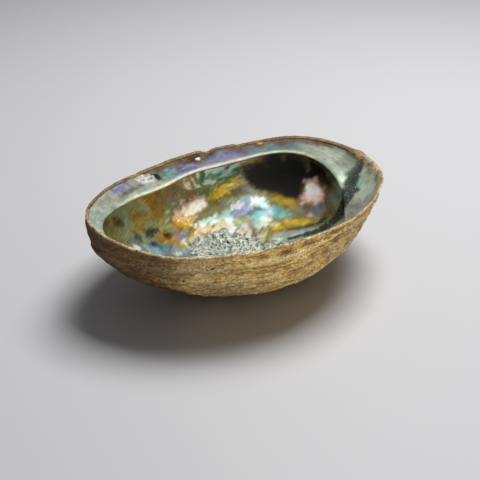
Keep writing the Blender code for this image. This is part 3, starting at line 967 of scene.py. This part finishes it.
spots = read_points(mesh.vertices, "co", 3)[corner_point] / MM
centres = np.array([on_wall(degrees, depth_mm) for degrees, depth_mm, _ in PORES])
gaps = np.linalg.norm(spots[:, None, :] - centres[None], axis=2)
number = gaps.argmin(axis=1)
offset = spots - centres[number]
clock = np.arctan2(offset[:, 2], offset @ np.array([-1.0, 0.0, 0.0]))
first_clock = clock[face_start][face_of_corner]
clock = first_clock + (clock - first_clock + math.pi) % (2 * math.pi) - math.pi
uv[pore_wall, 0] = (MARGIN + 0.02 * number + 0.014 * (row_at > LIP_START))[pore_wall]
uv[pore_wall, 1] = (MARGIN + 0.05 * (clock / (2 * math.pi) + 0.7))[pore_wall]
layer = mesh.uv_layers.new(name="OFBake")
layer.data.foreach_set("uv", uv.astype(np.float32).ravel())
print("map from", uv.min(axis=0).round(3), "to", uv.max(axis=0).round(3))
print("corners on pore walls:", int(pore_wall.sum()))

# %% [markdown]
# The finish is a node tree. To keep its maths readable, a socket is wrapped in a small class: adding or
# multiplying two of them makes the Math node and links it. Everything else goes through one method that
# makes any node.

# %% Writing shader maths
class Value:
    """An output socket of the material being made, which can be used in sums."""
    tree = None

    def __init__(self, socket):
        self.socket = socket

    @classmethod
    def node(cls, kind, settings=None, inputs=None, output=0):
        """Make a node: its settings first, then a value or a link for each input, and return one output."""
        made = cls.tree.nodes.new(kind)
        for name, setting in (settings or {}).items():
            setattr(made, name, setting)
        for name, value in (inputs or {}).items():
            cls.feed(made.inputs[name], value)
        return cls(made.outputs[output])

    @classmethod
    def feed(cls, socket, value):
        """Link a value to a socket, or set the socket to a number or colour."""
        if isinstance(value, cls):
            cls.tree.links.new(value.socket, socket)
        elif socket.type == "RGBA":
            socket.default_value = (*value, 1.0)
        else:
            socket.default_value = value

    def sum_with(self, other, operation, swapped=False):
        """Make the Math node for one operator, with the two sides swapped for the reflected form."""
        pair = (other, self) if swapped else (self, other)
        return self.node("ShaderNodeMath", {"operation": operation}, {0: pair[0], 1: pair[1]})

    def __add__(self, other):
        return self.sum_with(other, "ADD")

    def __radd__(self, other):
        return self.sum_with(other, "ADD", swapped=True)

    def __sub__(self, other):
        return self.sum_with(other, "SUBTRACT")

    def __rsub__(self, other):
        return self.sum_with(other, "SUBTRACT", swapped=True)

    def __mul__(self, other):
        return self.sum_with(other, "MULTIPLY")

    def __rmul__(self, other):
        return self.sum_with(other, "MULTIPLY", swapped=True)

    def between(self, low_edge, high_edge):
        """Smooth step: 0 below the low edge and 1 above the high edge."""
        return self.node("ShaderNodeMapRange", {"interpolation_type": "SMOOTHSTEP"},
                         {"Value": self, "From Min": low_edge, "From Max": high_edge})


def mixed(a, b, share, blend="MIX"):
    """Mix two colours by a share."""
    return Value.node("ShaderNodeMix", {"data_type": "RGBA", "blend_type": blend, "clamp_factor": True},
                      {0: share, 6: a, 7: b}, output=2)


def attribute(name, output="Fac"):
    """Read what was stored at the points of the mesh."""
    return Value.node("ShaderNodeAttribute", {"attribute_name": name}, output=output)


def fine_noise(where, scale, detail=3.0, roughness=0.55):
    """Noise finer than the mesh, from 0 to 1."""
    return Value.node("ShaderNodeTexNoise", {}, {"Vector": where, "Scale": scale, "Detail": detail,
                                                 "Roughness": roughness}, output="Fac")


def stretched_by(where, factors):
    """Scale a place along each axis, which stretches the pattern that reads it."""
    return Value.node("ShaderNodeVectorMath", {"operation": "MULTIPLY"}, {0: where, 1: factors})


material = bpy.data.materials.new("abalone")
material.use_nodes = True
Value.tree = material.node_tree
surface = material.node_tree.nodes["Principled BSDF"]
print("sockets on the surface shader:", len(surface.inputs))

# %% [markdown]
# One material covers the shell, because crust and pearl are the same lime laid down in two ways. A mask
# says which of the two a spot is. The crust is dull and gritty: fine grain, dark specks in its pits, pale
# worn grains, and thin lines along the growth ridges. All patterns are in millimetres of the real
# surface.

# %% The crust
paint_value = attribute("paint", "Color")
pearl_mask = attribute("pearl side")
scar_mask = attribute("scar")
skin_and_shade_mask = attribute("skin and painted shade")
shelf_mask = attribute("shelf")
seam_shade_mask = attribute("seam_shade")
growth = attribute("growth", "Vector")
place = Value.node("ShaderNodeTexCoord", output="Object")
in_mm = Value.node("ShaderNodeVectorMath", {"operation": "SCALE"}, {0: place, "Scale": 1000.0})

grit = fine_noise(in_mm, 0.75, 4.0, 0.7)
sand_grain = fine_noise(in_mm, 1.8, 3.0, 0.65)
growth_lines = fine_noise(stretched_by(growth, (0.10, 0.10, 1.5)), 1.0, 4.0, 0.62)
pits = fine_noise(stretched_by(growth, (0.45, 0.45, 1.4)), 1.0, 2.0, 0.5)
pit_mask = pits.between(0.62, 0.70)
pale_grains = fine_noise(in_mm, 1.2, 2.0, 0.5).between(0.57, 0.66)

shade = 0.36 + 0.72 * grit.between(0.41, 0.59) + 0.36 * sand_grain.between(0.40, 0.60)
shade = shade + 0.52 * growth_lines.between(0.40, 0.60)
shade_colour = Value.node("ShaderNodeCombineColor", {}, {"Red": shade, "Green": shade, "Blue": shade})
crust_colour = mixed(paint_value, shade_colour, 0.9, "MULTIPLY")
pale_paint = mixed(paint_value, (1.7, 1.65, 1.5), 1.0, "MULTIPLY")
crust_colour = mixed(crust_colour, pale_paint, 0.7 * pale_grains)
crust_colour = mixed(crust_colour, tuple(INK * 2.2), 0.85 * pit_mask)
crust_height = 0.9 * growth_lines + 0.55 * grit + 0.3 * sand_grain - 0.6 * pit_mask
print("nodes so far:", len(material.node_tree.nodes))

# %% [markdown]
# Pearl gets its shimmer from fine growth lines, each a slightly different thickness and so a slightly
# different colour. A noise stretched along those lines turns the hue a little both ways and lightens and
# darkens it. The scar is made of crumbs, white on top with dark gaps between, and the painted shade of
# the seam and the hollow is dull, as is the brown skin.

# %% The pearl
hair = fine_noise(stretched_by(growth, (0.16, 0.16, 1.3)), 1.0, 4.0, 0.6)
cloud = fine_noise(in_mm, 0.32, 3.0, 0.6)
hue = 0.5 + 0.11 * (hair - 0.5) + 0.16 * (cloud - 0.5)
glow = 0.44 + 0.95 * hair + 0.60 * cloud - 0.36 * shelf_mask
pearl_colour = Value.node("ShaderNodeHueSaturation", {},
                          {"Color": paint_value, "Hue": hue, "Saturation": 1.15, "Value": glow})
sheen_lines = fine_noise(stretched_by(growth, (0.07, 0.07, 2.4)), 1.0, 2.0, 0.5).between(0.60, 0.70)
pearl_colour = mixed(pearl_colour, tuple(CREAM), 0.18 * sheen_lines * (1 - skin_and_shade_mask))

crumbs_fine = fine_noise(in_mm, 0.52, 6.0, 0.78)
gaps_fine = fine_noise(in_mm, 0.9, 3.0, 0.65)
crumb_shade = fine_noise(in_mm, 0.5, 2.0).between(0.40, 0.55)
crumb_tint = mixed(tuple(PALE_AQUA * 0.8), tuple(pot(232, 232, 212)), crumb_shade)
crumb_colour = mixed(tuple(INK * 1.5), crumb_tint, crumbs_fine.between(0.40, 0.49))
crumb_colour = mixed(crumb_colour, tuple(MOSS * 0.6), 0.8 * gaps_fine.between(0.54, 0.62))
pearl_colour = mixed(pearl_colour, crumb_colour, scar_mask)
flecks = fine_noise(in_mm, 0.9, 3.0, 0.6).between(0.62, 0.68)
pearl_colour = mixed(pearl_colour, tuple(PALE_AQUA), 0.7 * flecks * seam_shade_mask)
pearl_height = 0.06 * hair + 0.04 * cloud + scar_mask * (0.8 * crumbs_fine + 0.4 * gaps_fine)
pearl_height = pearl_height + 0.35 * seam_shade_mask * crumbs_fine

# %% [markdown]
# The two finishes meet at the lip. Crust is rough and takes no polish. Pearl reflects like a thin clear
# coat over a metallic layer, less so on the brown skin, on the painted shade of the seam and the hollow,
# and in the scar.

# %% Put the finish together
shine = pearl_mask * (1 - 0.85 * skin_and_shade_mask)
smooth_pearl = 0.35 + 0.16 * cloud + 0.22 * scar_mask + 0.30 * skin_and_shade_mask + 0.22 * shelf_mask
rough = 0.86 + (smooth_pearl - 0.86) * pearl_mask
metal = 0.28 * shine * (1 - 0.6 * scar_mask) * (1 - 0.9 * shelf_mask)
height = crust_height + (pearl_height - crust_height) * pearl_mask
BUMP_HIGH = 0.0017
bump = Value.node("ShaderNodeBump", {}, {"Strength": 1.0, "Distance": BUMP_HIGH, "Height": height},
                  output="Normal")

Value.feed(surface.inputs["Base Color"], mixed(crust_colour, pearl_colour, pearl_mask))
Value.feed(surface.inputs["Roughness"], rough)
Value.feed(surface.inputs["Metallic"], metal)
Value.feed(surface.inputs["Coat Weight"], 0.5 * shine * (1 - 0.75 * shelf_mask))
Value.feed(surface.inputs["Normal"], bump)
surface.inputs["Coat Roughness"].default_value = 0.16
surface.inputs["IOR"].default_value = 1.53
surface.inputs["Specular IOR Level"].default_value = 0.3
mesh.materials.clear()
mesh.materials.append(material)
print("nodes in the finish:", len(material.node_tree.nodes))

# %% [markdown]
# The shell stands on a plain pale table under soft light. The main light is a broad square high up,
# behind the shell and to its right, so the hollow under the shelf stays dark and the shadow falls to the
# front. A fill from the front keeps the crust readable.

# %% Floor, lights and camera
FLOOR_HALF = 3.0
FLOOR_COLOUR = (0.66, 0.66, 0.675, 1)
MIDDLE = (0, 0, 0.02)
floor_mesh = bpy.data.meshes.new("floor")
corners = [(x * FLOOR_HALF, y * FLOOR_HALF, 0) for x, y in ((-1, -1), (1, -1), (1, 1), (-1, 1))]
floor_mesh.from_pydata(corners, [], [(0, 1, 2, 3)])
floor = bpy.data.objects.new("floor", floor_mesh)
bpy.context.scene.collection.objects.link(floor)
floor_material = bpy.data.materials.new("table")
floor_material.use_nodes = True
floor_surface = floor_material.node_tree.nodes["Principled BSDF"]
floor_surface.inputs["Base Color"].default_value = FLOOR_COLOUR
floor_surface.inputs["Roughness"].default_value = 0.55
floor_mesh.materials.append(floor_material)


def softbox(name, spot, size, power, colour=(1, 1, 1)):
    """Square area light at a spot, turned to the middle of the shell."""
    lamp = bpy.data.lights.new(name, "AREA")
    lamp.size = size
    lamp.energy = power
    lamp.color = colour
    holder = bpy.data.objects.new(name, lamp)
    holder.location = spot
    holder.rotation_euler = (Vector(MIDDLE) - Vector(spot)).to_track_quat("-Z", "Y").to_euler()
    bpy.context.scene.collection.objects.link(holder)
    return holder


softbox("back light", (0.31, 0.14, 0.78), 0.42, 7.3)
fill = softbox("front fill", (0.30, -0.85, 0.26), 0.5, 7.2, (1.0, 0.97, 0.89))

# The fill is for the crust alone, so that the shadow under the shell stays deep.
lit_by_fill = bpy.data.collections.new("lit by the fill")
lit_by_fill.objects.link(shell)
fill.light_linking.receiver_collection = lit_by_fill

world = bpy.data.worlds.new("studio")
world.use_nodes = True
sky = world.node_tree.nodes["Background"]
sky.inputs["Color"].default_value = (0.86, 0.87, 0.90, 1)
sky.inputs["Strength"].default_value = 0.14
bpy.context.scene.world = world
bpy.context.scene.view_settings.view_transform = "Standard"

CAMERA_TURN = math.radians(-27.3)
CAMERA_RISE = math.radians(30.1)
CAMERA_FAR = 0.388
LOOK_AT = Vector((-0.0019, -0.0024, 0.0180))
camera_data = bpy.data.cameras.new("camera")
camera_data.lens = 60
camera = bpy.data.objects.new("camera", camera_data)
backward = Vector((math.sin(CAMERA_TURN) * math.cos(CAMERA_RISE),
                   -math.cos(CAMERA_TURN) * math.cos(CAMERA_RISE), math.sin(CAMERA_RISE)))
camera.location = LOOK_AT + backward * CAMERA_FAR
camera.rotation_euler = (-backward).to_track_quat("-Z", "Y").to_euler()
bpy.context.scene.collection.objects.link(camera)
bpy.context.scene.camera = camera
print("camera at:", tuple(round(c, 3) for c in camera.location))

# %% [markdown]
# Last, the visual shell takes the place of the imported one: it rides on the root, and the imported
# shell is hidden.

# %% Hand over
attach(shell, "root")
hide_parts(NODE)
